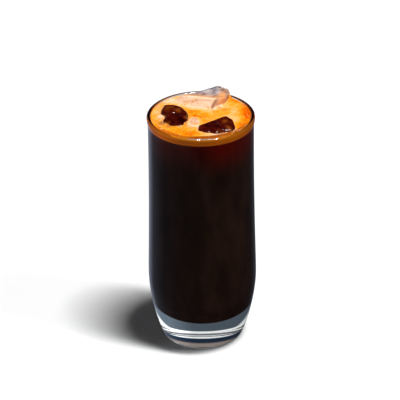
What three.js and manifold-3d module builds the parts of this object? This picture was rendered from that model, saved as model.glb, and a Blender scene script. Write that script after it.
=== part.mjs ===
// Iced black coffee under a thick crema, in a tall heavy-based tumbler, with ice breaking the surface.
// Millimetres, +Z up. The origin is the centre of the foot, on the table.
import * as THREE from "three";
import { ConvexGeometry } from "three/addons/geometries/ConvexGeometry.js";
import { mergeVertices } from "three/addons/utils/BufferGeometryUtils.js";
import Module from "manifold-3d";

const wasm = await Module();
wasm.setup();

// Driving dimensions of the tumbler
const glassHeight = 155;
const lipRadius = 33; // widest point of the flared lip
const lipRound = 1.3; // half the thickness of the fire-polished lip
const neckRadius = 32.4;
const neckHeight = 148; // the lip flares above this
const bellyRadius = 34.15;
const bellyHeight = 44;
const heelRadius = 25.7;
const heelHeight = 1.5;
const footInner = 22.4; // the flat ring that the glass stands on
const footOuter = 23.9;
const puntDepth = 2.27; // hollow under the base
const neckInnerRadius = 30.1;
const bellyInnerRadius = 31.5;
const bowlHeight = 38; // where the inside wall turns into the bowl
const baseThickness = 17.86;
const bowlPower = 2.4; // 2 is an ellipse, more is squarer

// Driving dimensions of the drink
const clearance = 0.3; // between pieces that touch
const cremaBottom = 149.6;
const cremaTop = 153.5;
const roundSteps = 60;

const at = (r, z) => new THREE.Vector2(r, z);

function bend(from, firstPull, secondPull, to, steps) {
  return new THREE.CubicBezierCurve(from, firstPull, secondPull, to).getPoints(steps);
}

function joinStretches(...stretches) {
  const outline = [];
  for (const point of stretches.flat()) {
    const last = outline[outline.length - 1];
    if (!last || last.distanceTo(point) > 1e-6) outline.push(point);
  }
  return outline;
}

function turn(outline) {
  const solid = new THREE.LatheGeometry(outline, roundSteps);
  solid.rotateX(Math.PI / 2);
  return solid;
}

// The inside of the glass from the lip down to the axis, or a surface that far inside it
const lipCentre = at(lipRadius - lipRound, glassHeight - lipRound);

function innerFlare(inset, steps) {
  const lipInner = lipCentre.x - lipRound - inset;
  const neckInner = neckInnerRadius - inset;
  return bend(
    at(lipInner, lipCentre.y),
    at(lipInner, lipCentre.y - 2.4),
    at(neckInner, neckHeight + 2.6),
    at(neckInner, neckHeight),
    steps,
  );
}

function innerWall(inset) {
  const neckInner = neckInnerRadius - inset;
  const bellyInner = bellyInnerRadius - inset;
  return bend(
    at(neckInner, neckHeight),
    at(neckInner, 94),
    at(bellyInner, 58),
    at(bellyInner, bowlHeight),
    5,
  );
}

function bowl(inset) {
  const steps = 9;
  const points = [];
  for (let i = 0; i <= steps; i += 1) {
    const angle = (Math.PI / 2) * (1 - i / steps);
    const across = (bellyInnerRadius - inset) * Math.sin(angle) ** (2 / bowlPower);
    const drop = (bowlHeight - baseThickness - inset) * Math.cos(angle) ** (2 / bowlPower);
    points.push(at(i === steps ? 0 : across, i === 0 ? bowlHeight : bowlHeight - drop));
  }
  return points;
}

function tumblerGeometry() {
  const punt = [0, 0.5, 0.85, 1].map((share) => at(footInner * share, puntDepth * (1 - share ** 2.08)));
  const heel = bend(
    at(footOuter, 0),
    at(footOuter + 1.3, 0),
    at(heelRadius - 1.84, 0.19),
    at(heelRadius, heelHeight),
    3,
  );
  const belly = bend(
    at(heelRadius, heelHeight),
    at(28.9, 8.1),
    at(bellyRadius, 29),
    at(bellyRadius, bellyHeight),
    7,
  );
  const side = bend(
    at(bellyRadius, bellyHeight),
    at(bellyRadius, 55.4),
    at(neckRadius, 94.4),
    at(neckRadius, neckHeight),
    6,
  );
  const flare = bend(
    at(neckRadius, neckHeight),
    at(neckRadius, neckHeight + 2.6),
    at(lipRadius, lipCentre.y - 2.4),
    at(lipRadius, lipCentre.y),
    3,
  );
  const lip = new THREE.EllipseCurve(
    lipCentre.x, lipCentre.y, lipRound, lipRound, 0, Math.PI,
  ).getPoints(5);
  return turn(joinStretches(punt, heel, belly, side, flare, lip, innerFlare(0, 3), innerWall(0), bowl(0)));
}

// Melting ice: the corners of each block, and how round its edges have melted
const iceBlocks = {
  ice_back: {
    edge: 1,
    corners: [
      [10.9, 21.6, 162.7], [16.4, 20.4, 161], [17.2, 19.4, 159.2], [-10.2, 22.6, 155.9],
      [6.9, 12.4, 153.1], [-10, 14.2, 148.1], [-10, 24.2, 149.8], [13.4, 24.6, 151],
      [-7, 13, 142], [5.5, 12, 140.6], [12.6, 23, 141.4], [-7, 23.6, 142],
    ],
  },
  ice_left: {
    edge: 2.2,
    corners: [
      [-21.2, 9.2, 155.1], [-14.2, 8.2, 155.3], [-22.4, 2.6, 154.5], [-10.2, 1.8, 154.7],
      [-9.2, -3, 154.1], [-12, -11, 152.7], [-17, -10.6, 152.7], [-21.2, -5, 152.9],
      [-19, 7.2, 139.1], [-11.5, 5.1, 138.3], [-11, -8.9, 139.1], [-18.5, -7, 138.5],
    ],
  },
  ice_right: {
    edge: 1.8,
    corners: [
      [0.2, -15.2, 154], [8, -11.6, 155], [15, -7.8, 155.8], [17.6, -10.4, 155.4],
      [19, -16.6, 154.1], [17, -18.8, 153.4], [8.4, -21.8, 153.3], [2.6, -20.6, 153.2], [0, -18, 153.4],
      [2, -16.8, 142.5], [8, -13, 140.5], [14.6, -10.2, 140.5], [16.8, -16, 141.3], [8, -20, 142.1],
    ],
  },
  ice_middle: {
    edge: 0.9,
    corners: [
      [-4.9, -2.4, 153.3], [-3, -2.8, 153.5], [-2, -7.4, 153.7], [-3.2, -11.8, 153.1],
      [-5.4, -11.4, 153.1], [-5.6, -7.4, 153.7], [-4.4, -4.4, 145.6], [-4.2, -10.4, 145.1],
    ],
  },
};

const clearIce = new THREE.MeshStandardMaterial({ color: 0xc9bdb6, roughness: 0.08, metalness: 0 });
const stainedIce = new THREE.MeshStandardMaterial({ color: 0x4a1c0a, roughness: 0.1, metalness: 0 });
const iceMaterials = {
  ice_back: clearIce,
  ice_left: stainedIce,
  ice_right: stainedIce,
  ice_middle: clearIce,
};

function iceGeometry({ corners, edge }, grow = 0) {
  const ball = new THREE.IcosahedronGeometry(1, 2);
  ball.deleteAttribute("normal");
  ball.deleteAttribute("uv");
  const directions = mergeVertices(ball).getAttribute("position");
  const points = [];
  for (const corner of corners) {
    for (let i = 0; i < directions.count; i += 1) {
      const point = new THREE.Vector3().fromBufferAttribute(directions, i);
      points.push(point.normalize().multiplyScalar(edge + grow).add(new THREE.Vector3(...corner)));
    }
  }
  return new ConvexGeometry(points);
}

// Closed geometry to and from the library that cuts solids
function toSolid(geometry) {
  const bare = geometry.clone();
  bare.deleteAttribute("normal");
  bare.deleteAttribute("uv");
  const merged = mergeVertices(bare, 1e-4);
  return new wasm.Manifold(new wasm.Mesh({
    numProp: 3,
    vertProperties: merged.getAttribute("position").array,
    triVerts: new Uint32Array(merged.index.array),
  }));
}

function toGeometry(solid) {
  const mesh = solid.getMesh();
  const geometry = new THREE.BufferGeometry();
  geometry.setAttribute("position", new THREE.BufferAttribute(mesh.vertProperties, 3));
  geometry.setIndex(new THREE.BufferAttribute(mesh.triVerts, 1));
  geometry.computeVertexNormals();
  return geometry;
}

function cutRoundIce(geometry) {
  let solid = toSolid(geometry);
  for (const block of Object.values(iceBlocks)) {
    solid = solid.subtract(toSolid(iceGeometry(block, clearance)));
  }
  return toGeometry(solid);
}

// Coffee fills the bowl and the wall up to the crema
function coffeeGeometry() {
  const surface = cremaBottom - clearance;
  const flare = innerFlare(clearance, 12).filter((point) => point.y < surface);
  const top = [at(0, surface), at(flare[0].x, surface)];
  return turn(joinStretches(top, flare, innerWall(clearance), bowl(clearance)).reverse());
}

// The foam banks up the sloping face of the big block, and stands a little proud round the others
const foam = {
  face: { x: 11.2, y: 22, z: 163.4, slopeX: 0.3266, slopeY: 0.793 }, // the block's front face
  thickness: 1.8, // of the foam lying on that face
  top: { x: 2, z: 157.6, slopeX: 0.06 }, // where the foam on it ends, higher to the right
  rightEnd: { x: 6.4, y: 11.5, lean: 1.35, from: -0.3, to: 1.2 }, // past the block's right side
  leftEnd: { from: 9, to: 17 },
  backEnd: { from: 23.5, to: 27 },
  collarHeight: 0.55,
  collars: [{ x: -15.5, y: -1.4, reach: 12 }, { x: 9, y: -14.9, reach: 11 }, { x: -4.2, y: -7.4, reach: 6 }],
  swell: { height: 0.2, lengthX: 4.3, startX: 1.1, lengthY: 5.1, startY: -0.4 },
  flatEdge: 4, // the foam lies level where it meets the glass, and rises over this width
};

function foamRise(x, y) {
  const { smoothstep, clamp } = THREE.MathUtils;
  const { face, top, rightEnd, leftEnd, backEnd } = foam;
  const skin = face.z + face.slopeX * (x - face.x) + face.slopeY * (y - face.y) + foam.thickness;
  const highest = top.z + top.slopeX * (x - top.x);
  const pastRight = smoothstep(x - rightEnd.x - rightEnd.lean * (y - rightEnd.y), rightEnd.from, rightEnd.to);
  const pastLeft = smoothstep(-x, leftEnd.from, leftEnd.to);
  const pastBack = smoothstep(y, backEnd.from, backEnd.to);
  const onBlock = (1 - pastRight) * (1 - pastLeft) * (1 - pastBack);
  const bank = clamp(skin - cremaTop, 0, highest - cremaTop) * onBlock;
  const collars = foam.collars.map((collar) => {
    const distance = Math.hypot(x - collar.x, y - collar.y);
    return foam.collarHeight * Math.exp(-((distance / collar.reach) ** 2));
  });
  const { swell } = foam;
  const wave = Math.sin(x / swell.lengthX + swell.startX) * Math.sin(y / swell.lengthY + swell.startY);
  return Math.max(bank, ...collars) + swell.height * wave;
}

function cremaGeometry() {
  const rings = 14;
  const wall = innerFlare(clearance, 12).filter((point) => point.y > cremaBottom && point.y < cremaTop);
  const rimRadius = wall[0].x;
  const footRadius = wall[wall.length - 1].x;
  const surface = [];
  for (let i = 0; i <= rings; i += 1) surface.push(at((rimRadius * i) / rings, cremaTop));
  const foot = [at(footRadius, cremaBottom), at(0, cremaBottom)];
  const layer = turn(joinStretches(surface, wall[Math.floor(wall.length / 2)], foot).reverse());
  const position = layer.getAttribute("position");
  for (let i = 0; i < position.count; i += 1) {
    if (position.getZ(i) < cremaTop - 1e-3) continue;
    const x = position.getX(i);
    const y = position.getY(i);
    const fromWall = THREE.MathUtils.smoothstep(rimRadius - Math.hypot(x, y), 0, foam.flatEdge);
    position.setZ(i, cremaTop + fromWall * foamRise(x, y));
  }
  return layer;
}

const drink = new THREE.Group();

function addPiece(name, geometry, material) {
  const piece = new THREE.Mesh(geometry, material);
  piece.name = name;
  drink.add(piece);
}

addPiece(
  "glass",
  tumblerGeometry(),
  new THREE.MeshPhysicalMaterial({
    color: 0xf4f8fa, roughness: 0.02, metalness: 0, transmission: 1, ior: 1.52,
  }),
);
addPiece(
  "coffee",
  cutRoundIce(coffeeGeometry()),
  new THREE.MeshStandardMaterial({ color: 0x1a0e0b, roughness: 0.15, metalness: 0 }),
);
addPiece(
  "crema",
  cutRoundIce(cremaGeometry()),
  new THREE.MeshStandardMaterial({ color: 0xf3a23f, roughness: 0.55, metalness: 0 }),
);
for (const [name, block] of Object.entries(iceBlocks)) addPiece(name, iceGeometry(block), iceMaterials[name]);

export default drink;
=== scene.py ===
import math

import bmesh
import bpy
from mathutils import Matrix, Vector, noise
from mathutils.bvhtree import BVHTree


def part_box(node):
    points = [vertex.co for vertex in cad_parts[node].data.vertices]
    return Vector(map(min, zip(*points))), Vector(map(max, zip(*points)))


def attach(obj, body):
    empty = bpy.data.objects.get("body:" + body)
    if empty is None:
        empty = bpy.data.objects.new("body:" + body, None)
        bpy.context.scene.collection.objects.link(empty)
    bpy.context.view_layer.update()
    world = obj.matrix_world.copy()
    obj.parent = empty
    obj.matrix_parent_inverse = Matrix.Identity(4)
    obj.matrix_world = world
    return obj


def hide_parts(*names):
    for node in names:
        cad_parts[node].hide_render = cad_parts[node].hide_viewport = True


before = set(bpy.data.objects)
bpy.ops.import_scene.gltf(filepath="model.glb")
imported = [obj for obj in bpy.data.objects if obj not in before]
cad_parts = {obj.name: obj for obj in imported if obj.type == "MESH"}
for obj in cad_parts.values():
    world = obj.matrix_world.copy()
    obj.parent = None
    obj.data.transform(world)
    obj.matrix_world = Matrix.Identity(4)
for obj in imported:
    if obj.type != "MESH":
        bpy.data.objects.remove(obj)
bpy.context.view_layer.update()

# Iced black coffee under orange crema, in a thick-based tumbler with ice breaking the surface.
# Lengths are in millimetres, and mm turns them to metres where a mesh or a node takes them.
mm = 0.001


def hexColour(text, alpha=1.0):  # sRGB hex to the linear colour that nodes take
    parts = [int(text[i:i + 2], 16) / 255 for i in (1, 3, 5)]
    linear = [p / 12.92 if p <= 0.04045 else ((p + 0.055) / 1.055) ** 2.4 for p in parts]
    return (*linear, alpha)


# One node with its settings, its values and links by socket, and a ramp's stops
def addNode(tree, kind, settings=None, inputs=None, stops=()):
    node = tree.nodes.new(kind)
    for name, value in (settings or {}).items():
        setattr(node, name, value)
    for socket, value in (inputs or {}).items():
        if isinstance(value, bpy.types.NodeSocket):
            tree.links.new(value, node.inputs[socket])
        else:
            node.inputs[socket].default_value = value
    if stops:
        marks = node.color_ramp.elements
        for mark, (position, colour) in zip((marks[0], marks[1]), (stops[0], stops[-1])):
            mark.position = position
            mark.color = hexColour(colour)
        for position, colour in stops[1:-1]:
            marks.new(position).color = hexColour(colour)
    return node


def newMaterial(name):
    material = bpy.data.materials.new(name)
    material.use_nodes = True
    material.node_tree.nodes.clear()
    return material, material.node_tree


def meshObject(name, points, faces=()):  # points in millimetres
    mesh = bpy.data.meshes.new(name)
    mesh.from_pydata([tuple(c * mm for c in p) for p in points], [], list(faces))
    mesh.update()
    piece = bpy.data.objects.new(name, mesh)
    bpy.context.scene.collection.objects.link(piece)
    return piece


def plainMesh(piece):  # the modifiers' result becomes the piece's own mesh
    bpy.context.view_layer.update()
    evaluated = piece.evaluated_get(bpy.context.evaluated_depsgraph_get())
    result = bpy.data.meshes.new_from_object(evaluated)
    piece.modifiers.clear()
    before = piece.data
    piece.data = result
    bpy.data.meshes.remove(before)
    result.name = piece.name
    return piece


def addTree(name, sizes):  # an empty geometry tree with named inputs
    tree = bpy.data.node_groups.new(name, "GeometryNodeTree")
    tree.interface.new_socket("Geometry", in_out="INPUT", socket_type="NodeSocketGeometry")
    for label, kind in sizes.items():
        tree.interface.new_socket(label, in_out="INPUT", socket_type=kind)
    tree.interface.new_socket("Geometry", in_out="OUTPUT", socket_type="NodeSocketGeometry")
    return tree


def runTree(piece, tree, values):  # inputs are set by identifier before the first evaluation
    modifier = piece.modifiers.new(tree.name, "NODES")
    modifier.node_group = tree
    identifiers = {item.name: item.identifier for item in tree.interface.items_tree if item.in_out == "INPUT"}
    for label, value in values.items():
        modifier[identifiers[label]] = value
    return plainMesh(piece)


def smoothstep(value, low, high):
    t = min(max((value - low) / (high - low), 0.0), 1.0)
    return t * t * (3 - 2 * t)


def bezier(start, firstPull, secondPull, end, steps):
    points = []
    for i in range(steps + 1):
        t = i / steps
        weights = ((1 - t) ** 3, 3 * (1 - t) ** 2 * t, 3 * (1 - t) * t * t, t ** 3)
        points.append(tuple(
            sum(w * p[axis] for w, p in zip(weights, (start, firstPull, secondPull, end))) for axis in (0, 1)
        ))
    return points


def joinStretches(*stretches):
    outline = []
    for point in (p for stretch in stretches for p in stretch):
        if not outline or math.dist(outline[-1], point) > 1e-6:
            outline.append(point)
    return outline


# The tumbler: thrown on an axis, with the same sizes as its solid
tumbler = {
    "height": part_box("glass")[1].z / mm,
    "lipRadius": 33.0,
    "lipRound": 1.3,  # half the thickness of the fire-polished lip
    "neckRadius": 32.4,
    "neckHeight": 148.0,
    "bellyRadius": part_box("glass")[1].x / mm,
    "bellyHeight": 44.0,
    "heelRadius": 25.7,
    "heelHeight": 1.5,
    "footInner": 22.4,
    "footOuter": 23.9,
    "puntDepth": 2.27,
    "puntPower": 2.08,
    "neckInnerRadius": 30.1,
    "bellyInnerRadius": 31.5,
    "bowlHeight": 38.0,
    "baseThickness": 17.86,
    "bowlPower": 2.4,
    "segments": 192,
    # how far each curve is pulled from its ends, or the places that it is pulled to
    "lipPull": 2.4,
    "flarePull": 2.6,
    "innerPulls": (94.0, 58.0),
    "sidePulls": (55.4, 94.4),
    "bellyPulls": ((28.9, 8.1), 29.0),
    "footPull": 1.3,
    "heelPull": (1.84, 0.19),
}
lipCentre = (tumbler["lipRadius"] - tumbler["lipRound"], tumbler["height"] - tumbler["lipRound"])


def innerFlare(intoWall, steps):  # the inside of the lip, or a surface that far into the wall
    lipInner = lipCentre[0] - tumbler["lipRound"] + intoWall
    neckInner = tumbler["neckInnerRadius"] + intoWall
    neck = tumbler["neckHeight"]
    return bezier(
        (lipInner, lipCentre[1]), (lipInner, lipCentre[1] - tumbler["lipPull"]),
        (neckInner, neck + tumbler["flarePull"]), (neckInner, neck), steps,
    )


def innerWall(intoWall):
    neckInner = tumbler["neckInnerRadius"] + intoWall
    bellyInner = tumbler["bellyInnerRadius"] + intoWall
    upperPull, lowerPull = tumbler["innerPulls"]
    return bezier(
        (neckInner, tumbler["neckHeight"]), (neckInner, upperPull), (bellyInner, lowerPull),
        (bellyInner, tumbler["bowlHeight"]), 24,
    )


def bowl(intoWall, steps=40):
    across = tumbler["bellyInnerRadius"] + intoWall
    depth = tumbler["bowlHeight"] - tumbler["baseThickness"] + intoWall
    power = 2 / tumbler["bowlPower"]
    points = []
    for i in range(steps + 1):
        angle = math.pi / 2 * (1 - i / steps)
        height = tumbler["bowlHeight"] - depth * abs(math.cos(angle)) ** power
        points.append((across * math.sin(angle) ** power, height))
    points[0] = (across, tumbler["bowlHeight"])
    points[-1] = (0.0, points[-1][1])
    return points


def tumblerOutline():
    t = tumbler
    punt = [(t["footInner"] * i / 12, t["puntDepth"] * (1 - (i / 12) ** t["puntPower"])) for i in range(13)]
    heel = bezier(
        (t["footOuter"], 0), (t["footOuter"] + t["footPull"], 0),
        (t["heelRadius"] - t["heelPull"][0], t["heelPull"][1]), (t["heelRadius"], t["heelHeight"]), 10,
    )
    belly = bezier(
        (t["heelRadius"], t["heelHeight"]), t["bellyPulls"][0], (t["bellyRadius"], t["bellyPulls"][1]),
        (t["bellyRadius"], t["bellyHeight"]), 24,
    )
    side = bezier(
        (t["bellyRadius"], t["bellyHeight"]), (t["bellyRadius"], t["sidePulls"][0]),
        (t["neckRadius"], t["sidePulls"][1]), (t["neckRadius"], t["neckHeight"]), 24,
    )
    flare = bezier(
        (t["neckRadius"], t["neckHeight"]), (t["neckRadius"], t["neckHeight"] + t["flarePull"]),
        (t["lipRadius"], lipCentre[1] - t["lipPull"]), (t["lipRadius"], lipCentre[1]), 12,
    )
    lip = []
    for i in range(15):
        turn = math.pi * i / 14
        lip.append((
            lipCentre[0] + t["lipRound"] * math.cos(turn), lipCentre[1] + t["lipRound"] * math.sin(turn),
        ))
    return joinStretches(punt, heel, belly, side, flare, lip, innerFlare(0, 12), innerWall(0), bowl(0))


# Turns an outline, given as vertices (radius, 0, height), about the upright axis
def turnedTree():
    tree = addTree("turned on its axis", {"Segments": "NodeSocketInt", "Finish": "NodeSocketMaterial"})
    given = addNode(tree, "NodeGroupInput").outputs
    count = addNode(tree, "GeometryNodeAttributeDomainSize", None, {"Geometry": given["Geometry"]})
    around = addNode(tree, "FunctionNodeIntegerMath", {"operation": "ADD"}, {0: given["Segments"], 1: 1})
    grid = addNode(tree, "GeometryNodeMeshGrid", None, {
        "Vertices X": around.outputs[0], "Vertices Y": count.outputs[0],
    })
    index = addNode(tree, "GeometryNodeInputIndex").outputs[0]
    spoke = addNode(tree, "FunctionNodeIntegerMath", {"operation": "DIVIDE_FLOOR"}, {
        0: index, 1: count.outputs[0],
    })
    ring = addNode(tree, "FunctionNodeIntegerMath", {"operation": "MODULO"}, {0: index, 1: count.outputs[0]})
    place = addNode(tree, "GeometryNodeSampleIndex", {"data_type": "FLOAT_VECTOR", "domain": "POINT"}, {
        "Geometry": given["Geometry"],
        "Value": addNode(tree, "GeometryNodeInputPosition").outputs[0],
        "Index": ring.outputs[0],
    })
    outline = addNode(tree, "ShaderNodeSeparateXYZ", None, {0: place.outputs[0]}).outputs
    share = addNode(tree, "ShaderNodeMath", {"operation": "DIVIDE"}, {
        0: spoke.outputs[0], 1: given["Segments"],
    })
    angle = addNode(tree, "ShaderNodeMath", {"operation": "MULTIPLY"}, {0: share.outputs[0], 1: 2 * math.pi})
    cosine = addNode(tree, "ShaderNodeMath", {"operation": "COSINE"}, {0: angle.outputs[0]})
    sine = addNode(tree, "ShaderNodeMath", {"operation": "SINE"}, {0: angle.outputs[0]})
    x = addNode(tree, "ShaderNodeMath", {"operation": "MULTIPLY"}, {0: outline["X"], 1: cosine.outputs[0]})
    y = addNode(tree, "ShaderNodeMath", {"operation": "MULTIPLY"}, {0: outline["X"], 1: sine.outputs[0]})
    turned = addNode(tree, "ShaderNodeCombineXYZ", None, {0: x.outputs[0], 1: y.outputs[0], 2: outline["Z"]})
    moved = addNode(tree, "GeometryNodeSetPosition", None, {
        "Geometry": grid.outputs[0], "Position": turned.outputs[0],
    })
    welded = addNode(tree, "GeometryNodeMergeByDistance", None, {
        "Geometry": moved.outputs[0], "Distance": 0.002 * mm,
    })
    smooth = addNode(tree, "GeometryNodeSetShadeSmooth", None, {"Geometry": welded.outputs[0]})
    real = addNode(tree, "GeometryNodeRealizeInstances", None, {"Geometry": smooth.outputs[0]})
    finished = addNode(tree, "GeometryNodeSetMaterial", None, {
        "Geometry": real.outputs[0], "Material": given["Finish"],
    })
    addNode(tree, "NodeGroupOutput", None, {"Geometry": finished.outputs[0]})
    return tree


turned = turnedTree()


def turnedPiece(name, outline, material):
    piece = meshObject(name, [(r, 0, z) for r, z in outline])
    return runTree(piece, turned, {"Segments": tumbler["segments"], "Finish": material})


# Soda-lime glass, pressed and fire-polished: clear, with a hard gloss, and thick enough to bend what lies
# behind. Lamps reach through it by the shadow-ray branch, so that the drink inside is lit without noise.
def clearGlass():
    material, tree = newMaterial("fire polished soda lime glass")
    glass = addNode(tree, "ShaderNodeBsdfPrincipled", None, {
        "Base Color": hexColour("#fafcfc"),
        "Roughness": 0.0,
        "IOR": 1.52,
        "Transmission Weight": 1.0,
    })
    through = addNode(tree, "ShaderNodeBsdfTransparent", None, {"Color": hexColour("#a8acac")})
    path = addNode(tree, "ShaderNodeLightPath")
    both = addNode(tree, "ShaderNodeMixShader", None, {
        0: path.outputs["Is Shadow Ray"], 1: glass.outputs[0], 2: through.outputs[0],
    })
    addNode(tree, "ShaderNodeOutputMaterial", None, {"Surface": both.outputs[0]})
    return material


glassPiece = turnedPiece("glass_clear", tumblerOutline(), clearGlass())
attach(glassPiece, "root")
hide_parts("glass")
print("tumbler turned")

# The drink's levels, and how far it reaches into the wall so that no air gap shows
drink = {
    "intoWall": 0.12,
    "intoFoam": 0.1,
    "cremaBottom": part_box("crema")[0].z / mm,
    "cremaTop": 153.5,
}


# Brewed coffee: a dark, slightly cloudy liquid, near black in bulk. The red-brown that lamplight gives its
# top centimetre is painted into its colour, redder towards the right.
def blackCoffee():
    material, tree = newMaterial("brewed black coffee")
    place = addNode(tree, "ShaderNodeTexCoord").outputs["Object"]
    axes = addNode(tree, "ShaderNodeSeparateXYZ", None, {0: place}).outputs
    drawn = addNode(tree, "ShaderNodeMapping", None, {"Vector": place, "Scale": (1.0, 1.0, 0.3)}).outputs[0]
    cloud = addNode(tree, "ShaderNodeTexNoise", None, {
        "Vector": drawn, "Scale": 1000 / 12, "Detail": 3.0, "Roughness": 0.55, "Distortion": 0.4,
    }).outputs["Fac"]
    body = addNode(tree, "ShaderNodeValToRGB", None, {0: cloud}, [
        (0.3, "#1b100c"), (0.5, "#22150f"), (0.7, "#2b1b15"),
    ])
    # painted lamplight: redder towards the right, where the lamps stand, and strongest near the top
    side = addNode(tree, "ShaderNodeMapRange", None, {0: axes["X"], 1: -30 * mm, 2: 30 * mm, 3: 0.0, 4: 1.0})
    paintedGlow = addNode(tree, "ShaderNodeValToRGB", None, {0: side.outputs[0]}, [
        (0.0, "#481e16"), (0.35, "#3a140e"), (0.5, "#340301"), (0.72, "#560400"), (1.0, "#46100c"),
    ])
    depth = addNode(tree, "ShaderNodeMapRange", {"interpolation_type": "SMOOTHSTEP"}, {
        0: axes["Z"], 1: 124 * mm, 2: 152 * mm, 3: 0.0, 4: 1.0,
    })
    uneven = addNode(tree, "ShaderNodeMapRange", None, {0: cloud, 1: 0.3, 2: 0.7, 3: 0.6, 4: 1.15})
    share = addNode(tree, "ShaderNodeMath", {"operation": "MULTIPLY", "use_clamp": True}, {
        0: depth.outputs[0], 1: uneven.outputs[0],
    })
    tint = addNode(tree, "ShaderNodeMix", {"data_type": "RGBA"}, {
        0: share.outputs[0], 6: body.outputs[0], 7: paintedGlow.outputs[0],
    })
    liquid = addNode(tree, "ShaderNodeBsdfPrincipled", None, {
        "Base Color": tint.outputs[2],
        "Roughness": 0.3,
        "IOR": 1.33,
        "Specular IOR Level": 0.0,
    })
    addNode(tree, "ShaderNodeOutputMaterial", None, {"Surface": liquid.outputs[0]})
    return material


def coffeeOutline():
    surface = drink["cremaBottom"] + drink["intoFoam"]
    flare = [p for p in innerFlare(drink["intoWall"], 40) if p[1] < surface]
    top = [(0, surface), (flare[0][0] - 0.02, surface)]
    return joinStretches(top, flare, innerWall(drink["intoWall"]), bowl(drink["intoWall"]))[::-1]


coffeePiece = turnedPiece("coffee_liquid", coffeeOutline(), blackCoffee())
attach(coffeePiece, "root")
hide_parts("coffee")
print("coffee poured")


# Ice: each block starts from its solid, and its skin is melted to soft waves, hollows and flats
ice = {
    "voxel": 0.35,
    "softening": {"factor": 0.6, "rounds": 6},
    "waves": [(7.0, 0.3), (3.0, 0.16), (1.3, 0.07)],  # size across and height of each set of waves
    "intoFoam": 0.15,  # how far foam reaches into the ice, so that no gap shows
    "foamReach": 0.9,  # how far up its sides a block takes the foam's colour
    "hollows": {  # place, reach and depth of what has melted away
        "ice_left": [
            ((-24.6, -0.4, 155.4), 3.0, 2.4), ((-20.5, 0.4, 157.2), 2.0, 0.8),
            ((-17.0, 0.6, 157.4), 2.0, 0.8), ((-13.4, 1.0, 157.4), 2.0, 0.6),
            ((-7.2, -3.2, 155.0), 1.5, 1.0), ((-8.6, -9.4, 154.2), 1.5, 1.1),
            ((-11.0, -12.6, 153.8), 1.2, 0.9), ((-14.0, 8.4, 155.4), 2.4, 1.5),
            ((-21.6, 9.4, 155.2), 2.0, 0.9), ((-25.0, -2.6, 155.0), 2.4, 1.6),
        ],
        "ice_right": [
            ((3.5, -16.0, 155.8), 2.4, 0.5), ((9.5, -17.4, 156.2), 2.6, 0.6),
            ((13.5, -12.6, 157.0), 2.0, 0.5), ((17.0, -15.4, 156.2), 2.0, 0.6),
            ((6.0, -22.6, 154.6), 1.6, 0.6), ((13.0, -22.0, 154.8), 1.4, 0.5),
        ],
        "ice_back": [
            ((-2.0, 20.2, 159.5), 4.5, 0.6), ((6.0, 19.0, 160.5), 3.5, 0.6), ((13.4, 18.6, 160.4), 2.0, 0.5),
        ],
        "ice_middle": [((-4.6, -7.4, 155.0), 1.2, 0.5)],
    },
    "flats": {  # place and reach of what has melted flat, sloping to the front
        "ice_left": [((-16.6, 1.2, 156.2), 1.1), ((-12.0, -3.0, 155.6), 0.5), ((-20.6, 6.0, 156.6), 0.5)],
        "ice_right": [((10.3, -14.2, 156.0), 0.5), ((7.0, -16.6, 155.6), 0.4), ((15.6, -15.0, 155.8), 0.6)],
        "ice_back": [((6.5, 20.4, 160.9), 0.8)],
        "ice_middle": [((-3.6, -8.6, 154.3), 0.6), ((-4.9, -5.0, 154.0), 0.4)],
    },
    "flatNormal": (0.127, -0.543, 0.830),
    "flatFade": 1.8,  # a flat has faded out at this many times its reach
    "milk": {  # place, reach and change from cloudy grey, darker below 0 and whiter above it
        "ice_back": [
            ((-0.3, 20.7, 159.2), 2.4, -0.05), ((4.0, 20.0, 160.4), 1.8, 0.05),
            ((7.7, 20.0, 161.3), 1.7, -0.11), ((2.0, 20.5, 158.8), 1.3, -0.06),
            ((8.9, 20.7, 162.9), 0.8, -0.12), ((10.6, 20.7, 163.2), 1.0, 0.12),
            ((11.6, 20.7, 163.5), 0.7, -0.12), ((13.2, 19.5, 161.7), 1.6, -0.03),
            ((15.7, 18.7, 160.5), 1.5, -0.06), ((14.4, 17.1, 158.6), 1.8, 0.1),
            ((9.5, 17.2, 159.5), 1.5, -0.05), ((11.3, 15.1, 157.1), 1.6, -0.06),
        ],
        # on the sliver the whiter spots are partly painted highlights of its crystal edges, partly cloudy ice
        "ice_middle": [
            ((-4.7, -8.4, 154.5), 5.0, 0.1), ((-4.7, -8.0, 154.6), 0.6, -0.28),
            ((-3.6, -9.2, 154.6), 0.7, 0.2), ((-4.4, -5.6, 154.8), 0.9, 0.2),
            ((-5.8, -8.6, 154.6), 0.6, -0.16), ((-3.2, -7.2, 154.6), 0.6, -0.16),
        ],
        "ice_left": [],
        "ice_right": [],
    },
    "peach": [  # place, reach and strength of where foam colours the clear blocks
        ((14.0, 17.4, 158.5), 2.6, 0.7), ((12.0, 15.6, 156.6), 2.8, 0.8), ((-7.0, -6.0, 154.4), 1.3, 0.9),
        ((-2.6, -10.0, 154.4), 1.2, 0.9), ((-2.8, -5.4, 154.6), 1.0, 0.7), ((-6.6, -12.4, 154.2), 1.2, 0.8),
    ],
    "stain": 0.16,  # 0 is dark red coffee and 1 is pale brown ice
    "edgeStain": {"change": 0.3, "reach": 0.5},  # along the foam
    "stainsAndSheen": [  # x, y, reach and change; the pale grey-brown at the right cube's right end is partly a painted highlight
        (-19.5, 6.4, 4.5, 0.3), (-13.6, 3.0, 2.4, 0.42), (-21.8, -2.4, 2.0, 0.35),
        (-12.5, -7.9, 3.2, -0.16), (-9.4, -5.0, 1.5, 0.4), (-19.8, -9.8, 1.6, 0.5),
        (-0.8, -17.4, 1.6, 0.12), (14.6, -12.2, 2.0, 0.42), (16.6, -17.6, 1.8, 0.5),
        (17.6, -20.2, 1.5, 0.5), (10.6, -21.6, 2.0, 0.12), (6.5, -17.0, 4.0, -0.1),
    ],
}


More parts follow.
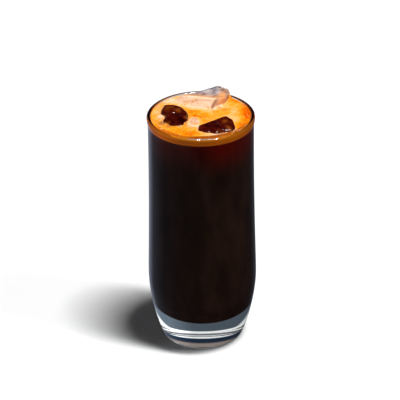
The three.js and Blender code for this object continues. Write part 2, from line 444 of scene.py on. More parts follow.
# Melting ice with trapped air: clear where it is solid, milky white along the streaks of bubbles, and warm
# where the foam round it shows through
def clearIce():
    material, tree = newMaterial("clear melting ice")
    place = addNode(tree, "ShaderNodeTexCoord").outputs["Object"]
    axes = addNode(tree, "ShaderNodeSeparateXYZ", None, {0: place}).outputs
    stretched = addNode(tree, "ShaderNodeMapping", None, {
        "Vector": place, "Rotation": (0.0, math.radians(-14), 0.0), "Scale": (0.4, 1.6, 2.6),
    }).outputs[0]
    streaks = addNode(tree, "ShaderNodeTexNoise", None, {
        "Vector": stretched, "Scale": 1000 / 5, "Detail": 4.0, "Roughness": 0.65, "Distortion": 0.9,
    }).outputs["Fac"]
    painted = addNode(tree, "ShaderNodeAttribute", {"attribute_name": "iceMilkAndSheen"}).outputs["Fac"]
    cloudy = addNode(tree, "ShaderNodeMapRange", {"clamp": False}, {
        0: streaks, 1: 0.3, 2: 0.7, 3: 0.35, 4: 0.59,
    })
    milkiness = addNode(tree, "ShaderNodeMath", {"operation": "ADD"}, {0: cloudy.outputs[0], 1: painted})
    milk = addNode(tree, "ShaderNodeValToRGB", None, {0: milkiness.outputs[0]}, [
        (0.32, "#4a4852"), (0.43, "#86828c"), (0.53, "#bcb6b8"), (0.64, "#f6f2f0"),
    ]).outputs[0]
    facet = addNode(tree, "ShaderNodeMapRange", {"interpolation_type": "SMOOTHSTEP"}, {
        0: axes["X"], 1: 10.0 * mm, 2: 13.5 * mm, 3: 0.0, 4: 1.0,
    }).outputs[0]
    tanned = addNode(tree, "ShaderNodeMix", {"data_type": "RGBA", "blend_type": "MULTIPLY"}, {
        0: facet, 6: milk, 7: hexColour("#f0ccae"),
    }).outputs[2]
    nearFoam = addNode(tree, "ShaderNodeAttribute", {"attribute_name": "nearFoam"}).outputs["Fac"]
    warmed = addNode(tree, "ShaderNodeMix", {"data_type": "RGBA"}, {
        0: nearFoam, 6: tanned, 7: hexColour("#e09c64"),
    })
    ripples = addNode(tree, "ShaderNodeTexNoise", None, {
        "Vector": stretched, "Scale": 1000 / 3, "Detail": 3.0, "Roughness": 0.55,
    })
    bump = addNode(tree, "ShaderNodeBump", None, {
        "Strength": 0.6, "Distance": 0.25 * mm, "Height": ripples.outputs["Fac"],
    })
    clear = addNode(tree, "ShaderNodeBsdfPrincipled", None, {
        "Base Color": hexColour("#f2f4f6"),
        "Roughness": 0.05,
        "IOR": 1.31,
        "Transmission Weight": 1.0,
        "Normal": bump.outputs[0],
    })
    milky = addNode(tree, "ShaderNodeBsdfPrincipled", None, {
        "Base Color": warmed.outputs[2],
        "Roughness": 0.12,
        "IOR": 1.31,
        "Normal": bump.outputs[0],
    })
    share = addNode(tree, "ShaderNodeMapRange", {"interpolation_type": "SMOOTHSTEP"}, {
        0: streaks, 1: 0.34, 2: 0.54, 3: 0.7, 4: 0.95,
    })
    through = addNode(tree, "ShaderNodeBsdfTransparent", None, {"Color": hexColour("#d8d4d4")})
    path = addNode(tree, "ShaderNodeLightPath")
    mixed = addNode(tree, "ShaderNodeMixShader", None, {
        0: share.outputs[0], 1: clear.outputs[0], 2: milky.outputs[0],
    })
    both = addNode(tree, "ShaderNodeMixShader", None, {
        0: path.outputs["Is Shadow Ray"], 1: mixed.outputs[0], 2: through.outputs[0],
    })
    addNode(tree, "ShaderNodeOutputMaterial", None, {"Surface": both.outputs[0]})
    return material


# Ice that has taken up coffee: wet and glossy, dark red where the coffee shows through, and brown where it
# is thin; its palest grey-brown, at the right cube's right end, is partly a painted highlight
def stainedIce():
    material, tree = newMaterial("coffee stained melting ice")
    place = addNode(tree, "ShaderNodeTexCoord").outputs["Object"]
    stain = addNode(tree, "ShaderNodeAttribute", {"attribute_name": "iceStainAndSheen"}).outputs["Fac"]
    patches = addNode(tree, "ShaderNodeTexNoise", None, {
        "Vector": place, "Scale": 1000 / 3.2, "Detail": 4.0, "Roughness": 0.65, "Distortion": 0.8,
    })
    swing = addNode(tree, "ShaderNodeMapRange", None, {
        0: patches.outputs["Fac"], 1: 0.3, 2: 0.7, 3: -0.2, 4: 0.2,
    })
    total = addNode(tree, "ShaderNodeMath", {"operation": "ADD", "use_clamp": True}, {
        0: stain, 1: swing.outputs[0],
    })
    colour = addNode(tree, "ShaderNodeValToRGB", None, {0: total.outputs[0]}, [
        (0.0, "#1e0302"), (0.22, "#480a06"), (0.45, "#5e2606"), (0.7, "#844012"), (0.85, "#906040"),
        (1.0, "#b0947c"),
    ])
    ripples = addNode(tree, "ShaderNodeTexNoise", None, {
        "Vector": place, "Scale": 1000 / 2.2, "Detail": 6.0, "Roughness": 0.68,
    })
    bump = addNode(tree, "ShaderNodeBump", None, {
        "Strength": 0.6, "Distance": 0.25 * mm, "Height": ripples.outputs["Fac"],
    })
    wet = addNode(tree, "ShaderNodeBsdfPrincipled", None, {
        "Base Color": colour.outputs[0],
        "Roughness": 0.06,
        "IOR": 1.31,
        "Transmission Weight": 0.3,
        "Normal": bump.outputs[0],
    })
    through = addNode(tree, "ShaderNodeBsdfTransparent", None, {"Color": hexColour("#8a4a30")})
    path = addNode(tree, "ShaderNodeLightPath")
    both = addNode(tree, "ShaderNodeMixShader", None, {
        0: path.outputs["Is Shadow Ray"], 1: wet.outputs[0], 2: through.outputs[0],
    })
    addNode(tree, "ShaderNodeOutputMaterial", None, {"Surface": both.outputs[0]})
    return material


def weldedCopy(node, name):  # a copy of a solid's mesh with its loose triangles joined
    joined = bmesh.new()
    joined.from_mesh(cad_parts[node].data)
    bmesh.ops.remove_doubles(joined, verts=joined.verts, dist=0.001 * mm)
    mesh = bpy.data.meshes.new(name)
    joined.to_mesh(mesh)
    joined.free()
    piece = bpy.data.objects.new(name, mesh)
    bpy.context.scene.collection.objects.link(piece)
    return piece


def meltedBlock(node, name, material):
    piece = weldedCopy(node, name)
    remesh = piece.modifiers.new("even skin", "REMESH")
    remesh.mode = "VOXEL"
    remesh.voxel_size = ice["voxel"] * mm
    soften = piece.modifiers.new("melted edges", "SMOOTH")
    soften.factor = ice["softening"]["factor"]
    soften.iterations = ice["softening"]["rounds"]
    plainMesh(piece)
    normals = [v.normal.copy() for v in piece.data.vertices]
    flatNormal = Vector(ice["flatNormal"])
    for vertex, normal in zip(piece.data.vertices, normals):
        offset = sum(height * noise.noise(vertex.co / (across * mm)) for across, height in ice["waves"])
        for centre, reach, depth in ice["hollows"][node]:
            offset -= depth * math.exp(-((vertex.co / mm - Vector(centre)).length / reach) ** 2)
        vertex.co += normal * (offset * mm)
        for centre, reach in ice["flats"][node]:
            away = vertex.co / mm - Vector(centre)
            above = max(away.dot(flatNormal), 0)
            kept = 1 - smoothstep(away.length, reach, ice["flatFade"] * reach)
            vertex.co -= flatNormal * (above * kept * mm)
    for face in piece.data.polygons:
        face.use_smooth = True
    piece.data.materials.clear()
    piece.data.materials.append(material)
    return piece


clear, stained = clearIce(), stainedIce()
iceBlocks = {
    "ice_back": ("ice_back_block", clear, "clear_ice"),
    "ice_middle": ("ice_middle_sliver", clear, "clear_ice"),
    "ice_left": ("ice_left_cube", stained, "stained_ice"),
    "ice_right": ("ice_right_cube", stained, "stained_ice"),
}
icePieces = {}
for node, (pieceName, material, slotName) in iceBlocks.items():
    icePieces[node] = meltedBlock(node, pieceName, material)
    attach(icePieces[node], "root")
    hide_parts(node)
print("ice melted")

# The crema: a foam skin that banks up on the big block and stands a little proud round the others
foam = {
    "rings": 120,
    "spokes": 320,
    "face": {"x": 11.2, "y": 22.0, "z": 163.4, "slopeX": 0.3266, "slopeY": 0.793},  # the block's front face
    "thickness": 1.8,  # of the foam lying on that face
    "top": {"x": 2.0, "z": 157.6, "slopeX": 0.06},  # where the foam on it ends, higher to the right
    "rightEnd": {"x": 6.4, "y": 11.5, "lean": 1.35, "from": -0.3, "to": 1.2},
    "leftEnd": (9.0, 17.0),  # how far left of the axis it fades out
    "backEnd": (23.5, 27.0),
    "collars": [(-15.5, -1.4, 12.0), (9.0, -14.9, 11.0), (-4.2, -7.4, 6.0)],  # x, y, reach round the others
    "collarHeight": 0.55,
    "swell": {"height": 0.2, "acrossX": 4.3, "acrossY": 5.1},
    "levelEdge": 4.0,  # rises and swells end this far from the wall
    "edgeDrop": 0.5,  # how far the foam sinks towards the wall in front
    "dropReach": 2.5,
    "climb": 1.1,  # how much higher than that it stands at the wall behind
    "climbFrom": (-6.0, 6.0),
    "climbReach": 1.8,
    "relief": [(7.0, 0.16), (2.6, 0.08), (0.9, 0.03)],
    "shadedEdge": {"y": 4.6, "radius": 30.4},  # outside this circle the foam takes the band's darker colour, painted shade of the lip and wall
    "crowd": {"everywhere": 0.12, "iceReach": 1.6, "wallShare": 0.5, "wallReach": 1.5},  # of bubbles
    "mostShade": 0.85,
    "tone": 0.45,  # 0 is thin orange foam and 1 is thick pale foam
    "patches": [  # x, y, reach along x, reach along y and the change of tone
        (28.6, 4.0, 4.5, 13.0, -0.5), (21.5, 4.0, 4.0, 9.0, 0.22), (20.0, 20.5, 7.0, 3.5, -0.2),
        (24.5, -15.0, 5.0, 6.0, -0.3), (3.5, 14.0, 10.0, 3.6, 0.5), (-3.4, 12.4, 7.0, 3.0, 0.25),
        (-7.0, 6.0, 4.0, 2.6, -0.3), (-2.0, 0.8, 8.0, 2.6, -0.32), (6.0, 9.5, 4.5, 3.0, 0.3),
        (-2.0, 20.0, 12.0, 4.0, 0.5), (-13.0, 21.5, 8.0, 5.0, 0.5), (-22.0, 22.0, 5.0, 5.0, 0.2),
        (-26.6, 9.0, 3.5, 8.0, 0.22), (-24.4, -0.4, 2.4, 4.0, 0.5), (-17.0, -19.5, 7.0, 3.5, -0.1),
        (-5.0, -21.5, 7.0, 3.0, -0.28), (1.2, -25.7, 7.0, 2.0, 0.12), (-5.4, -9.8, 3.6, 4.2, 0.4),
        (13.0, 7.0, 4.0, 4.0, -0.05), (19.5, -3.0, 3.5, 4.0, 0.25), (-21.5, -16.0, 3.0, 3.0, 0.15),
        (9.0, -24.4, 8.0, 1.8, 0.4),
    ],
    "shades": [  # x, y, reach and strength of painted shade on the foam, beside and below the ice and at the wall, mixed with browning by wet ice or coffee
        (-23.4, -8.0, 2.4, 0.85), (-19.5, -12.6, 1.8, 0.6), (-25.5, 20.0, 4.0, 0.35),
        (-27.5, 13.0, 2.4, 0.3), (14.9, 8.9, 1.3, 0.5), (11.9, 11.6, 1.5, 0.4), (-7.0, -13.6, 1.6, 0.3),
        (14.3, -24.2, 4.5, 0.7), (-29.0, -5.0, 2.0, 0.25),
    ],
    "brownAndShadedLines": [  # from x, y to x, y, half width and strength of thin brown lines, partly painted shade along steps and ice edges, partly brown shards
        (-10.2, 17.9, -2.8, 16.5, 0.5, 0.3), (-2.8, 16.5, 5.8, 14.4, 0.5, 0.32),
        (17.2, 25.0, 12.6, 17.6, 0.6, 0.7), (12.6, 17.6, 7.0, 11.2, 0.6, 0.75),
        (7.0, 10.8, 8.1, 4.6, 0.6, 0.35), (-6.4, -2.0, -8.4, -6.0, 0.35, 0.6),
        (-8.2, -6.6, -9.2, -11.4, 0.4, 0.6), (-6.6, -5.4, -6.2, -11.0, 0.3, 0.35),
        (-12.0, 24.5, -4.0, 26.0, 0.6, 0.25),
    ],
}


def foamRise(x, y):
    face, top, rightEnd = foam["face"], foam["top"], foam["rightEnd"]
    skin = face["z"] + face["slopeX"] * (x - face["x"]) + face["slopeY"] * (y - face["y"]) + foam["thickness"]
    highest = top["z"] + top["slopeX"] * (x - top["x"]) - drink["cremaTop"]
    beyond = x - rightEnd["x"] - rightEnd["lean"] * (y - rightEnd["y"])
    pastRight = smoothstep(beyond, rightEnd["from"], rightEnd["to"])
    onBlock = (1 - pastRight) * (1 - smoothstep(-x, *foam["leftEnd"])) * (1 - smoothstep(y, *foam["backEnd"]))
    bank = min(max(skin - drink["cremaTop"], 0), highest) * onBlock
    collar = max(
        foam["collarHeight"] * math.exp(-((x - centreX) ** 2 + (y - centreY) ** 2) / reach ** 2)
        for centreX, centreY, reach in foam["collars"]
    )
    swell = foam["swell"]
    waves = math.sin(x / swell["acrossX"] + 1.1) * math.sin(y / swell["acrossY"] - 0.4)
    return max(bank, collar) + swell["height"] * waves


def foamHeight(x, y, rimRadius):
    fromWall = rimRadius - math.hypot(x, y)
    relief = sum(height * noise.noise(Vector((x, y, 3.7)) / across) for across, height in foam["relief"])
    atWall = 1 - smoothstep(fromWall, 0, foam["climbReach"])
    climb = foam["climb"] * smoothstep(y, *foam["climbFrom"]) * atWall
    sag = foam["edgeDrop"] * (1 - smoothstep(fromWall, 0, foam["dropReach"])) - climb
    rise = smoothstep(fromWall, 0, foam["levelEdge"]) * foamRise(x, y)
    return drink["cremaTop"] + rise + smoothstep(fromWall, 0, 1) * relief - sag


def foamMesh():
    edge = drink["cremaTop"] - foam["edgeDrop"]
    wall = [p for p in innerFlare(drink["intoWall"], 60) if drink["cremaBottom"] < p[1] < edge]
    rimRadius = wall[0][0]
    rings, spokes = foam["rings"], foam["spokes"]
    points = [(0, 0, foamHeight(0, 0, rimRadius))]
    for ring in range(1, rings + 1):
        for spoke in range(spokes):
            angle = 2 * math.pi * spoke / spokes
            x, y = rimRadius * ring / rings * math.cos(angle), rimRadius * ring / rings * math.sin(angle)
            points.append((x, y, foamHeight(x, y, rimRadius)))
    below = wall[::6] + [(wall[-1][0], drink["cremaBottom"])]
    for radius, z in below:
        for spoke in range(spokes):
            angle = 2 * math.pi * spoke / spokes
            points.append((radius * math.cos(angle), radius * math.sin(angle), z))
    points.append((0, 0, drink["cremaBottom"]))
    faces = [(0, 1 + s, 1 + (s + 1) % spokes) for s in range(spokes)]
    for ring in range(rings + len(below) - 1):
        inner, outer = 1 + ring * spokes, 1 + (ring + 1) * spokes
        faces += [
            (inner + s, outer + s, outer + (s + 1) % spokes, inner + (s + 1) % spokes) for s in range(spokes)
        ]
    last, centre = 1 + (rings + len(below) - 1) * spokes, len(points) - 1
    faces += [(last + s, centre, last + (s + 1) % spokes) for s in range(spokes)]
    return meshObject("crema_foam", points, faces), rimRadius


# Coffee crema: a dense foam of bubbles too fine to see. It scatters light evenly, so it is matt and a little
# translucent: pale where it is thick, orange where the coffee below shows through.
def coffeeFoam():
    material, tree = newMaterial("coffee crema foam")
    place = addNode(tree, "ShaderNodeTexCoord").outputs["Object"]
    tone = addNode(tree, "ShaderNodeAttribute", {"attribute_name": "foamTone"}).outputs["Fac"]
    shade = addNode(tree, "ShaderNodeAttribute", {"attribute_name": "foamShade"}).outputs["Fac"]
    band = addNode(tree, "ShaderNodeAttribute", {"attribute_name": "bandTone"}).outputs["Fac"]
    side = addNode(tree, "ShaderNodeAttribute", {"attribute_name": "sideShare"}).outputs["Fac"]
    drag = addNode(tree, "ShaderNodeMapping", None, {
        "Vector": place, "Rotation": (0, 0, math.radians(20)), "Scale": (0.9, 1.7, 1.0),
    })
    marbling = addNode(tree, "ShaderNodeTexNoise", None, {
        "Vector": drag.outputs[0], "Scale": 1000 / 8, "Detail": 5.0, "Roughness": 0.62, "Distortion": 1.6,
    })
    swing = addNode(tree, "ShaderNodeMapRange", None, {
        0: marbling.outputs["Fac"], 1: 0.3, 2: 0.7, 3: -0.22, 4: 0.22,
    })
    crumbs = addNode(tree, "ShaderNodeTexNoise", None, {
        "Vector": place, "Scale": 1000 / 2.2, "Detail": 4.0, "Roughness": 0.7, "Distortion": 0.5,
    })
    crumbled = addNode(tree, "ShaderNodeMapRange", None, {
        0: crumbs.outputs["Fac"], 1: 0.3, 2: 0.7, 3: -0.2, 4: 0.2,
    })
    rough = addNode(tree, "ShaderNodeMath", {"operation": "ADD"}, {0: tone, 1: crumbled.outputs[0]})
    total = addNode(tree, "ShaderNodeMath", {"operation": "ADD", "use_clamp": True}, {
        0: rough.outputs[0], 1: swing.outputs[0],
    })
    top = addNode(tree, "ShaderNodeValToRGB", None, {0: total.outputs[0]}, [
        (0.0, "#d45200"), (0.2, "#e07400"), (0.4, "#e88e14"), (0.6, "#ee9e40"), (0.8, "#f0ac70"),
        (1.0, "#f0c4a4"),
    ])
    # painted shade, with some browning, darkens the top towards brown
    shadedAndBrowned = addNode(tree, "ShaderNodeMix", {"data_type": "RGBA"}, {
        0: shade, 6: top.outputs[0], 7: hexColour("#704430"),
    })
    deep = addNode(tree, "ShaderNodeValToRGB", None, {0: band}, [
        (0.0, "#944004"), (0.25, "#b8640c"), (0.45, "#b05002"), (0.7, "#b25c02"), (0.87, "#c87412"),
        (1.0, "#8c4202"),
    ])
    across = addNode(tree, "ShaderNodeSeparateXYZ", None, {0: place}).outputs["X"]
    paler = addNode(tree, "ShaderNodeMapRange", {"interpolation_type": "SMOOTHSTEP"}, {
        0: across, 1: -26 * mm, 2: -6 * mm, 3: 2.0, 4: 1.05,  # the band is paler at the left
    })
    deepened = addNode(tree, "ShaderNodeVectorMath", {"operation": "SCALE"}, {
        0: deep.outputs[0], "Scale": paler.outputs[0],
    })
    # the side's colour also covers the ring of painted shade along the foam's edge
    colour = addNode(tree, "ShaderNodeMix", {"data_type": "RGBA"}, {
        0: side, 6: shadedAndBrowned.outputs[2], 7: deepened.outputs[0],
    })
    grain = addNode(tree, "ShaderNodeTexVoronoi", {"feature": "SMOOTH_F1"}, {
        "Vector": place, "Scale": 1000 / 0.55, "Smoothness": 0.6,
    })
    bump = addNode(tree, "ShaderNodeBump", None, {
        "Strength": 0.35, "Distance": 0.08 * mm, "Height": grain.outputs["Distance"],
    })
    skin = addNode(tree, "ShaderNodeBsdfPrincipled", None, {
        "Base Color": colour.outputs[2],
        "Roughness": 0.5,
        "IOR": 1.33,
        "Specular IOR Level": 0.1,
        "Subsurface Weight": 0.15,
        "Subsurface Radius": (1.0, 0.5, 0.2),
        "Subsurface Scale": 0.8 * mm,
        "Normal": bump.outputs[0],
    })
    addNode(tree, "ShaderNodeOutputMaterial", None, {"Surface": skin.outputs[0]})
    return material


def cutByIce(piece):  # the foam stops just inside each block's skin
    for node, block in icePieces.items():
        cutter = block.copy()
        cutter.data = block.data.copy()
        bpy.context.scene.collection.objects.link(cutter)
        for vertex, normal in zip(cutter.data.vertices, [v.normal.copy() for v in cutter.data.vertices]):
            vertex.co -= normal * (ice["intoFoam"] * mm)
        cut = piece.modifiers.new(node, "BOOLEAN")
        cut.operation = "DIFFERENCE"
        cut.solver = "MANIFOLD"
        cut.object = cutter
        plainMesh(piece)
        bpy.data.objects.remove(cutter)
    return piece


# How each block's edge changes the foam's tone, how much painted shade it lays on the foam beside it, and how
# far from the ice that reaches
contactLines = {
    "ice_back": {"tone": 0.3, "shade": 0.1, "reach": 0.8},
    "ice_left": {"tone": 0.1, "shade": 0.35, "reach": 0.6},
    "ice_right": {"tone": 0.35, "shade": 0.1, "reach": 0.9},
    "ice_middle": {"tone": 0.5, "shade": 0.0, "reach": 0.9},
}


def fromLine(x, y, startX, startY, endX, endY):  # distance of a point to a stretch between two others
    alongX, alongY = endX - startX, endY - startY
    share = ((x - startX) * alongX + (y - startY) * alongY) / (alongX ** 2 + alongY ** 2)
    share = min(max(share, 0.0), 1.0)
    return math.hypot(x - startX - share * alongX, y - startY - share * alongY)


# Where the foam is thick, brown or wet, where painted shade darkens it, where its side shows through the
# wall, and where bubbles stand
def paintFoam(piece, rimRadius):
    mesh = piece.data
    names = ("foamTone", "foamShade", "bandTone", "sideShare", "bubbleShare")
    for name in names:
        mesh.attributes.new(name, "FLOAT", "POINT")
    values = {name: mesh.attributes[name].data for name in names}
    crowd = foam["crowd"]
    skins = {}
    for node, block in icePieces.items():
        skins[node] = BVHTree.FromObject(block, bpy.context.evaluated_depsgraph_get())
    for vertex in mesh.vertices:
        x, y, z = (c / mm for c in vertex.co)
        fromWall = rimRadius - math.hypot(x, y)
        tone, shade = foam["tone"], 0.0
        for centreX, centreY, reachX, reachY, change in foam["patches"]:
            tone += change * math.exp(-((x - centreX) / reachX) ** 2 - ((y - centreY) / reachY) ** 2)
        for centreX, centreY, reach, strength in foam["shades"]:
            shade += strength * math.exp(-((x - centreX) ** 2 + (y - centreY) ** 2) / reach ** 2)
        for startX, startY, endX, endY, halfWidth, strength in foam["brownAndShadedLines"]:
            shade += strength * math.exp(-(fromLine(x, y, startX, startY, endX, endY) / halfWidth) ** 2)
        nearest = 10.0
        for node, skin in skins.items():
            distance = (skin.find_nearest(vertex.co)[3] or 0.01) / mm
            line = contactLines[node]
            tone += line["tone"] * math.exp(-distance / line["reach"])
            # painted shade along the ice's edge
            shade += line["shade"] * math.exp(-distance / line["reach"])
            nearest = min(nearest, distance)
        values["foamTone"][vertex.index].value = tone
        values["foamShade"][vertex.index].value = min(shade, foam["mostShade"])
        thickness = drink["cremaTop"] - drink["cremaBottom"]
        values["bandTone"][vertex.index].value = (z - drink["cremaBottom"]) / thickness
        isSide = z < drink["cremaTop"] - foam["edgeDrop"] - 0.02 and fromWall < 0.6
        # painted shade: outside the circle the foam's edge takes the side's darker colour
        outside = math.hypot(x, y - foam["shadedEdge"]["y"]) - foam["shadedEdge"]["radius"]
        values["sideShare"][vertex.index].value = 1.0 if isSide else smoothstep(outside, -0.6, 0.6)
        onTop = 1.0 if vertex.normal.z > 0.5 and fromWall > 0.6 else 0.0
        alongIce = math.exp(-nearest / crowd["iceReach"])
        alongWall = crowd["wallShare"] * math.exp(-fromWall / crowd["wallReach"])
        values["bubbleShare"][vertex.index].value = onTop * (crowd["everywhere"] + alongIce + alongWall)


def paintIce(node, piece, rimRadius):  # how near the foam each point of the ice is, how milky and how stained, with painted highlights
    mesh = piece.data
    for name in ("nearFoam", "iceStainAndSheen", "iceMilkAndSheen"):
        mesh.attributes.new(name, "FLOAT", "POINT")
    nearFoam, iceStainAndSheen = mesh.attributes["nearFoam"].data, mesh.attributes["iceStainAndSheen"].data
    iceMilkAndSheen = mesh.attributes["iceMilkAndSheen"].data
    for vertex in mesh.vertices:
        x, y, z = (c / mm for c in vertex.co)
        above = max(z - foamHeight(x, y, rimRadius), 0)
        peach = math.exp(-above / ice["foamReach"])
        for centre, reach, strength in ice["peach"]:
            peach += strength * math.exp(-((vertex.co / mm - Vector(centre)).length / reach) ** 2)
        nearFoam[vertex.index].value = min(peach, 1.0)
        iceMilkAndSheen[vertex.index].value = sum(
            change * math.exp(-((vertex.co / mm - Vector(centre)).length / reach) ** 2)
            for centre, reach, change in ice["milk"][node]
        )
        stain = ice["stain"] + ice["edgeStain"]["change"] * math.exp(-above / ice["edgeStain"]["reach"])
        for centreX, centreY, reach, change in ice["stainsAndSheen"]:
            stain += change * math.exp(-((x - centreX) ** 2 + (y - centreY) ** 2) / reach ** 2)
        iceStainAndSheen[vertex.index].value = stain


foamPiece, foamRim = foamMesh()
cutByIce(foamPiece)
paintFoam(foamPiece, foamRim)
for node, block in icePieces.items():
    paintIce(node, block, foamRim)
foamPiece.data.materials.clear()
foamPiece.data.materials.append(coffeeFoam())
for foamFace in foamPiece.data.polygons:
    foamFace.use_smooth = True
    foamFace.material_index = 0
print("crema laid")

# Larger bubbles that stand on the foam, most of them along the ice and the wall
bubbles = {
    "perSquareMm": 0.55,
    "apart": 0.35,
    "smallest": 0.12,  # radius
    "largest": 0.42,
    "proud": 0.1,  # how far the middle stands above the surface, as a share of the radius
    "seed": 7,
}


# A bubble's film: thin, wet and amber, bright on top and darker round its foot
def bubbleFilm():
    material, tree = newMaterial("crema bubble film")
    place = addNode(tree, "ShaderNodeTexCoord").outputs["Object"]
    variety = addNode(tree, "ShaderNodeTexNoise", None, {"Vector": place, "Scale": 1000 / 1.5, "Detail": 1.0})
    colour = addNode(tree, "ShaderNodeValToRGB", None, {0: variety.outputs["Fac"]}, [
        (0.35, "#d88428"), (0.5, "#f0ac5c"), (0.65, "#fadcb4"),
    ])
    film = addNode(tree, "ShaderNodeBsdfPrincipled", None, {
        "Base Color": colour.outputs[0],
        "Roughness": 0.18,
        "IOR": 1.33,
    })
    addNode(tree, "ShaderNodeOutputMaterial", None, {"Surface": film.outputs[0]})
    return material


def scatterTree():
    tree = addTree("bubbles on the foam", {
        "Density": "NodeSocketFloat", "Apart": "NodeSocketFloat", "Smallest": "NodeSocketFloat",
        "Largest": "NodeSocketFloat", "Proud": "NodeSocketFloat", "Seed": "NodeSocketInt",
        "Finish": "NodeSocketMaterial",
    })
    given = addNode(tree, "NodeGroupInput").outputs
    share = addNode(tree, "GeometryNodeInputNamedAttribute", {"data_type": "FLOAT"}, {"Name": "bubbleShare"})
    points = addNode(tree, "GeometryNodeDistributePointsOnFaces", {"distribute_method": "POISSON"}, {
        "Mesh": given["Geometry"],
        "Distance Min": given["Apart"],
        "Density Max": given["Density"],
        "Density Factor": share.outputs["Attribute"],
        "Seed": given["Seed"],
    })
    size = addNode(tree, "FunctionNodeRandomValue", {"data_type": "FLOAT"}, {
        2: given["Smallest"], 3: given["Largest"], 8: given["Seed"],
    })
    ball = addNode(tree, "GeometryNodeMeshUVSphere", None, {"Segments": 8, "Rings": 5, "Radius": 1.0})
    lift = addNode(tree, "ShaderNodeCombineXYZ", None, {2: given["Proud"]})
    lifted = addNode(tree, "GeometryNodeTransform", None, {
        "Geometry": ball.outputs[0], "Translation": lift.outputs[0],
    })
    balls = addNode(tree, "GeometryNodeInstanceOnPoints", None, {
        "Points": points.outputs["Points"], "Instance": lifted.outputs[0], "Scale": size.outputs[1],
    })
    real = addNode(tree, "GeometryNodeRealizeInstances", None, {"Geometry": balls.outputs[0]})
    smooth = addNode(tree, "GeometryNodeSetShadeSmooth", None, {"Geometry": real.outputs[0]})
    finished = addNode(tree, "GeometryNodeSetMaterial", None, {
        "Geometry": smooth.outputs[0], "Material": given["Finish"],
    })
    addNode(tree, "NodeGroupOutput", None, {"Geometry": finished.outputs[0]})
    return tree


bubblePiece = foamPiece.copy()
bubblePiece.name = "crema_bubbles"
bubblePiece.data = foamPiece.data.copy()
bpy.context.scene.collection.objects.link(bubblePiece)
runTree(bubblePiece, scatterTree(), {
    "Density": bubbles["perSquareMm"] / mm ** 2,
    "Apart": bubbles["apart"] * mm,
    "Smallest": bubbles["smallest"] * mm,
    "Largest": bubbles["largest"] * mm,
    "Proud": bubbles["proud"],
    "Seed": bubbles["seed"],
    "Finish": bubbleFilm(),
})
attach(foamPiece, "root")
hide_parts("crema")
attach(bubblePiece, "root")
print("bubbles scattered, faces:", len(bubblePiece.data.polygons))

# The studio: a white table in a dim room, under one high softbox. A softbox at the front right lights the
# drink alone, a weak lamp at the right the table alone, and a strip gives the lip its bright line.
studio = {
    "floorSize": 6000.0,
    "fill": 0.03,
    "tableGlow": 1.3,  # how bright the lit table is round the glass
    "rightWall": 2.2,  # how much brighter the room's right side is, seen through the base, than its middle
    "leftWall": 4.6,  # how much brighter the room is mirrored at the left than at the right
    "lampDistance": 5000.0,
    "lamps": {  # degrees towards the camera from straight right, degrees up, width and length, and power
        "key softbox": {"azimuth": 21.0, "elevation": 76.0, "size": (450.0, 1550.0), "power": 272.0},
        "front softbox": {"azimuth": 38.0, "elevation": 48.0, "size": (1500.0, 900.0), "power": 130.0},
        "table light": {"azimuth": 20.0, "elevation": 46.0, "size": (500.0, 1800.0), "power": 46.0},
        "lip strip": {"azimuth": 77.0, "elevation": 82.0, "size": (1500.0, 600.0), "power": 250.0},
    },
}


def addFloor():
    half = studio["floorSize"] / 2
    corners = [(-half, -half, 0), (half, -half, 0), (half, half, 0), (-half, half, 0)]
    floor = meshObject("floor", corners, [(0, 1, 2, 3)])
    material, tree = newMaterial("matt white table")
    paper = addNode(tree, "ShaderNodeBsdfDiffuse", None, {"Color": hexColour("#f6f6f6")})
    addNode(tree, "ShaderNodeOutputMaterial", None, {"Surface": paper.outputs[0]})
    floor.data.materials.append(material)
    floor.visible_glossy = False
    floor.visible_transmission = False
    return floor


def addLamp(name, azimuth, elevation, size, power):
    softbox = bpy.data.lights.new(name, "AREA")
    softbox.shape = "RECTANGLE"
    softbox.size = size[0] * mm
    softbox.size_y = size[1] * mm
    softbox.energy = power
    holder = bpy.data.objects.new(name, softbox)
    bpy.context.scene.collection.objects.link(holder)
    turn, rise = math.radians(azimuth), math.radians(elevation)
    towards = Vector((math.cos(rise) * math.cos(turn), -math.cos(rise) * math.sin(turn), math.sin(rise)))
    holder.location = towards * studio["lampDistance"] * mm
    holder.rotation_euler = (-towards).to_track_quat("-Z", "Y").to_euler()
    holder.visible_transmission = False
    return holder


def lightOnly(lamp, pieces):  # the lamp lights nothing else
    lit = bpy.data.collections.new(f"lit by the {lamp.name}")
    for piece in pieces:
        lit.objects.link(piece)
    lamp.light_linking.receiver_collection = lit


# What the room shows by height, from straight down to straight up, where it is seen through glass or ice
seenThrough = [
    (0.0, "#a8acb0"), (0.2, "#d4d2d0"), (0.3, "#d4d2d0"), (0.35, "#56606a"), (0.37, "#4c5660"),
    (0.44, "#4c5660"), (0.465, "#f4f6f6"), (0.7, "#f4f6f6"), (0.735, "#0c2840"), (0.84, "#262e3a"),
    (0.88, "#948883"), (0.95, "#948883"), (0.985, "#f4f6f6"), (1.0, "#f4f6f6"),
]
# What it shows by depth, from the camera's side to the far side, where it is mirrored below eye level
mirrored = [(0.0, "#121317"), (0.5, "#1a1c22"), (0.78, "#34373f"), (0.92, "#6c7280"), (1.0, "#868c9a")]
# What it gives as light: the table's glow from below, and little from above
lighting = [(0.0, "#f0f0f0"), (0.49, "#f0f0f0"), (0.51, "#2e2e30"), (1.0, "#2a2a2c")]


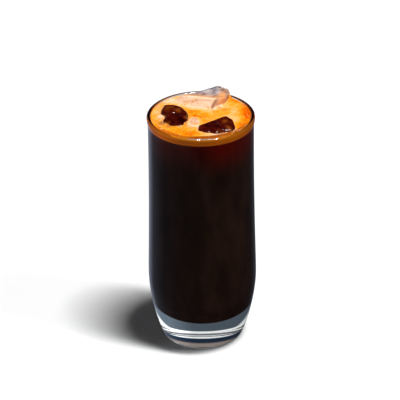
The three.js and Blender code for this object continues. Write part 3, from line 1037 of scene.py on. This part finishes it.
def addRoom():
    world = bpy.data.worlds.new("dim room")
    bpy.context.scene.world = world
    world.use_nodes = True
    tree = world.node_tree
    tree.nodes.clear()
    direction = addNode(tree, "ShaderNodeTexCoord").outputs["Object"]
    axes = addNode(tree, "ShaderNodeSeparateXYZ", None, {0: direction}).outputs
    height = addNode(tree, "ShaderNodeMapRange", None, {
        0: axes["Z"], 1: -1.0, 2: 1.0, 3: 0.0, 4: 1.0,
    }).outputs[0]
    depth = addNode(tree, "ShaderNodeMapRange", None, {
        0: axes["Y"], 1: -1.0, 2: 1.0, 3: 0.0, 4: 1.0,
    }).outputs[0]
    above = addNode(tree, "ShaderNodeMapRange", None, {
        0: axes["Z"], 1: -0.05, 2: 0.15, 3: 0.0, 4: 1.0,
    }).outputs[0]
    leftWall = addNode(tree, "ShaderNodeMapRange", None, {
        0: axes["X"], 1: -0.9, 2: 0.3, 3: studio["leftWall"], 4: 0.55,
    }).outputs[0]
    below = addNode(tree, "ShaderNodeValToRGB", None, {0: depth}, mirrored).outputs[0]
    boosted = addNode(tree, "ShaderNodeVectorMath", {"operation": "SCALE"}, {
        0: below, "Scale": leftWall,
    }).outputs[0]
    reflection = addNode(tree, "ShaderNodeMix", {"data_type": "RGBA"}, {
        0: above, 6: boosted, 7: hexColour("#141417"),
    }).outputs[2]
    window = addNode(tree, "ShaderNodeMapRange", None, {
        0: axes["X"], 1: 0.15, 2: 0.55, 3: 1.0, 4: studio["rightWall"],
    }).outputs[0]
    shown = addNode(tree, "ShaderNodeValToRGB", None, {0: height}, seenThrough).outputs[0]
    through = addNode(tree, "ShaderNodeVectorMath", {"operation": "SCALE"}, {
        0: shown, "Scale": window,
    }).outputs[0]
    table = addNode(tree, "ShaderNodeValToRGB", None, {0: height}, lighting).outputs[0]
    glowing = addNode(tree, "ShaderNodeVectorMath", {"operation": "SCALE"}, {
        0: table, "Scale": studio["tableGlow"],
    }).outputs[0]
    path = addNode(tree, "ShaderNodeLightPath").outputs
    scattered = addNode(tree, "ShaderNodeMath", {"operation": "GREATER_THAN"}, {
        0: path["Diffuse Depth"], 1: 0.5,
    })
    fill = studio["fill"]
    colour = (fill, fill, fill, 1.0)
    for share, seen in (
        (path["Is Camera Ray"], (1.0, 1.0, 1.0, 1.0)),
        (path["Is Glossy Ray"], reflection),
        (path["Is Transmission Ray"], through),
        (scattered.outputs[0], glowing),
    ):
        colour = addNode(tree, "ShaderNodeMix", {"data_type": "RGBA"}, {
            0: share, 6: colour, 7: seen,
        }).outputs[2]
    shine = addNode(tree, "ShaderNodeBackground", None, {"Color": colour, "Strength": 1.0})
    addNode(tree, "ShaderNodeOutputWorld", None, {"Surface": shine.outputs[0]})


# The camera stands where the photograph was taken from
view = {
    "distance": 1200.0,
    "elevation": 29.7,
    "lens": 173.5,
    "roll": 0.63,
    "aimX": -1.01,
    "aimZ": 95.24,
}


def addCamera():
    lens = bpy.data.cameras.new("camera")
    lens.sensor_width = 36
    lens.lens = view["lens"]
    lens.clip_start = 0.05
    camera = bpy.data.objects.new("camera", lens)
    bpy.context.scene.collection.objects.link(camera)
    elevation = math.radians(view["elevation"])
    aim = Vector((view["aimX"], 0, view["aimZ"])) * mm
    back = Vector((0, -math.cos(elevation), math.sin(elevation))) * view["distance"] * mm
    turn = (-back).to_track_quat("-Z", "Y").to_matrix().to_4x4()
    roll = Matrix.Rotation(-math.radians(view["roll"]), 4, "Z")
    camera.matrix_world = Matrix.Translation(aim + back) @ turn @ roll
    bpy.context.scene.camera = camera


floorPiece = addFloor()
lamps = {name: addLamp(name, **facts) for name, facts in studio["lamps"].items()}
lamps["front softbox"].visible_glossy = False
lightOnly(lamps["front softbox"], [glassPiece, coffeePiece, foamPiece, bubblePiece, *icePieces.values()])
lightOnly(lamps["table light"], [floorPiece])
lightOnly(lamps["lip strip"], [glassPiece])
addRoom()
addCamera()
bpy.context.scene.view_settings.view_transform = "Standard"
print("studio set")
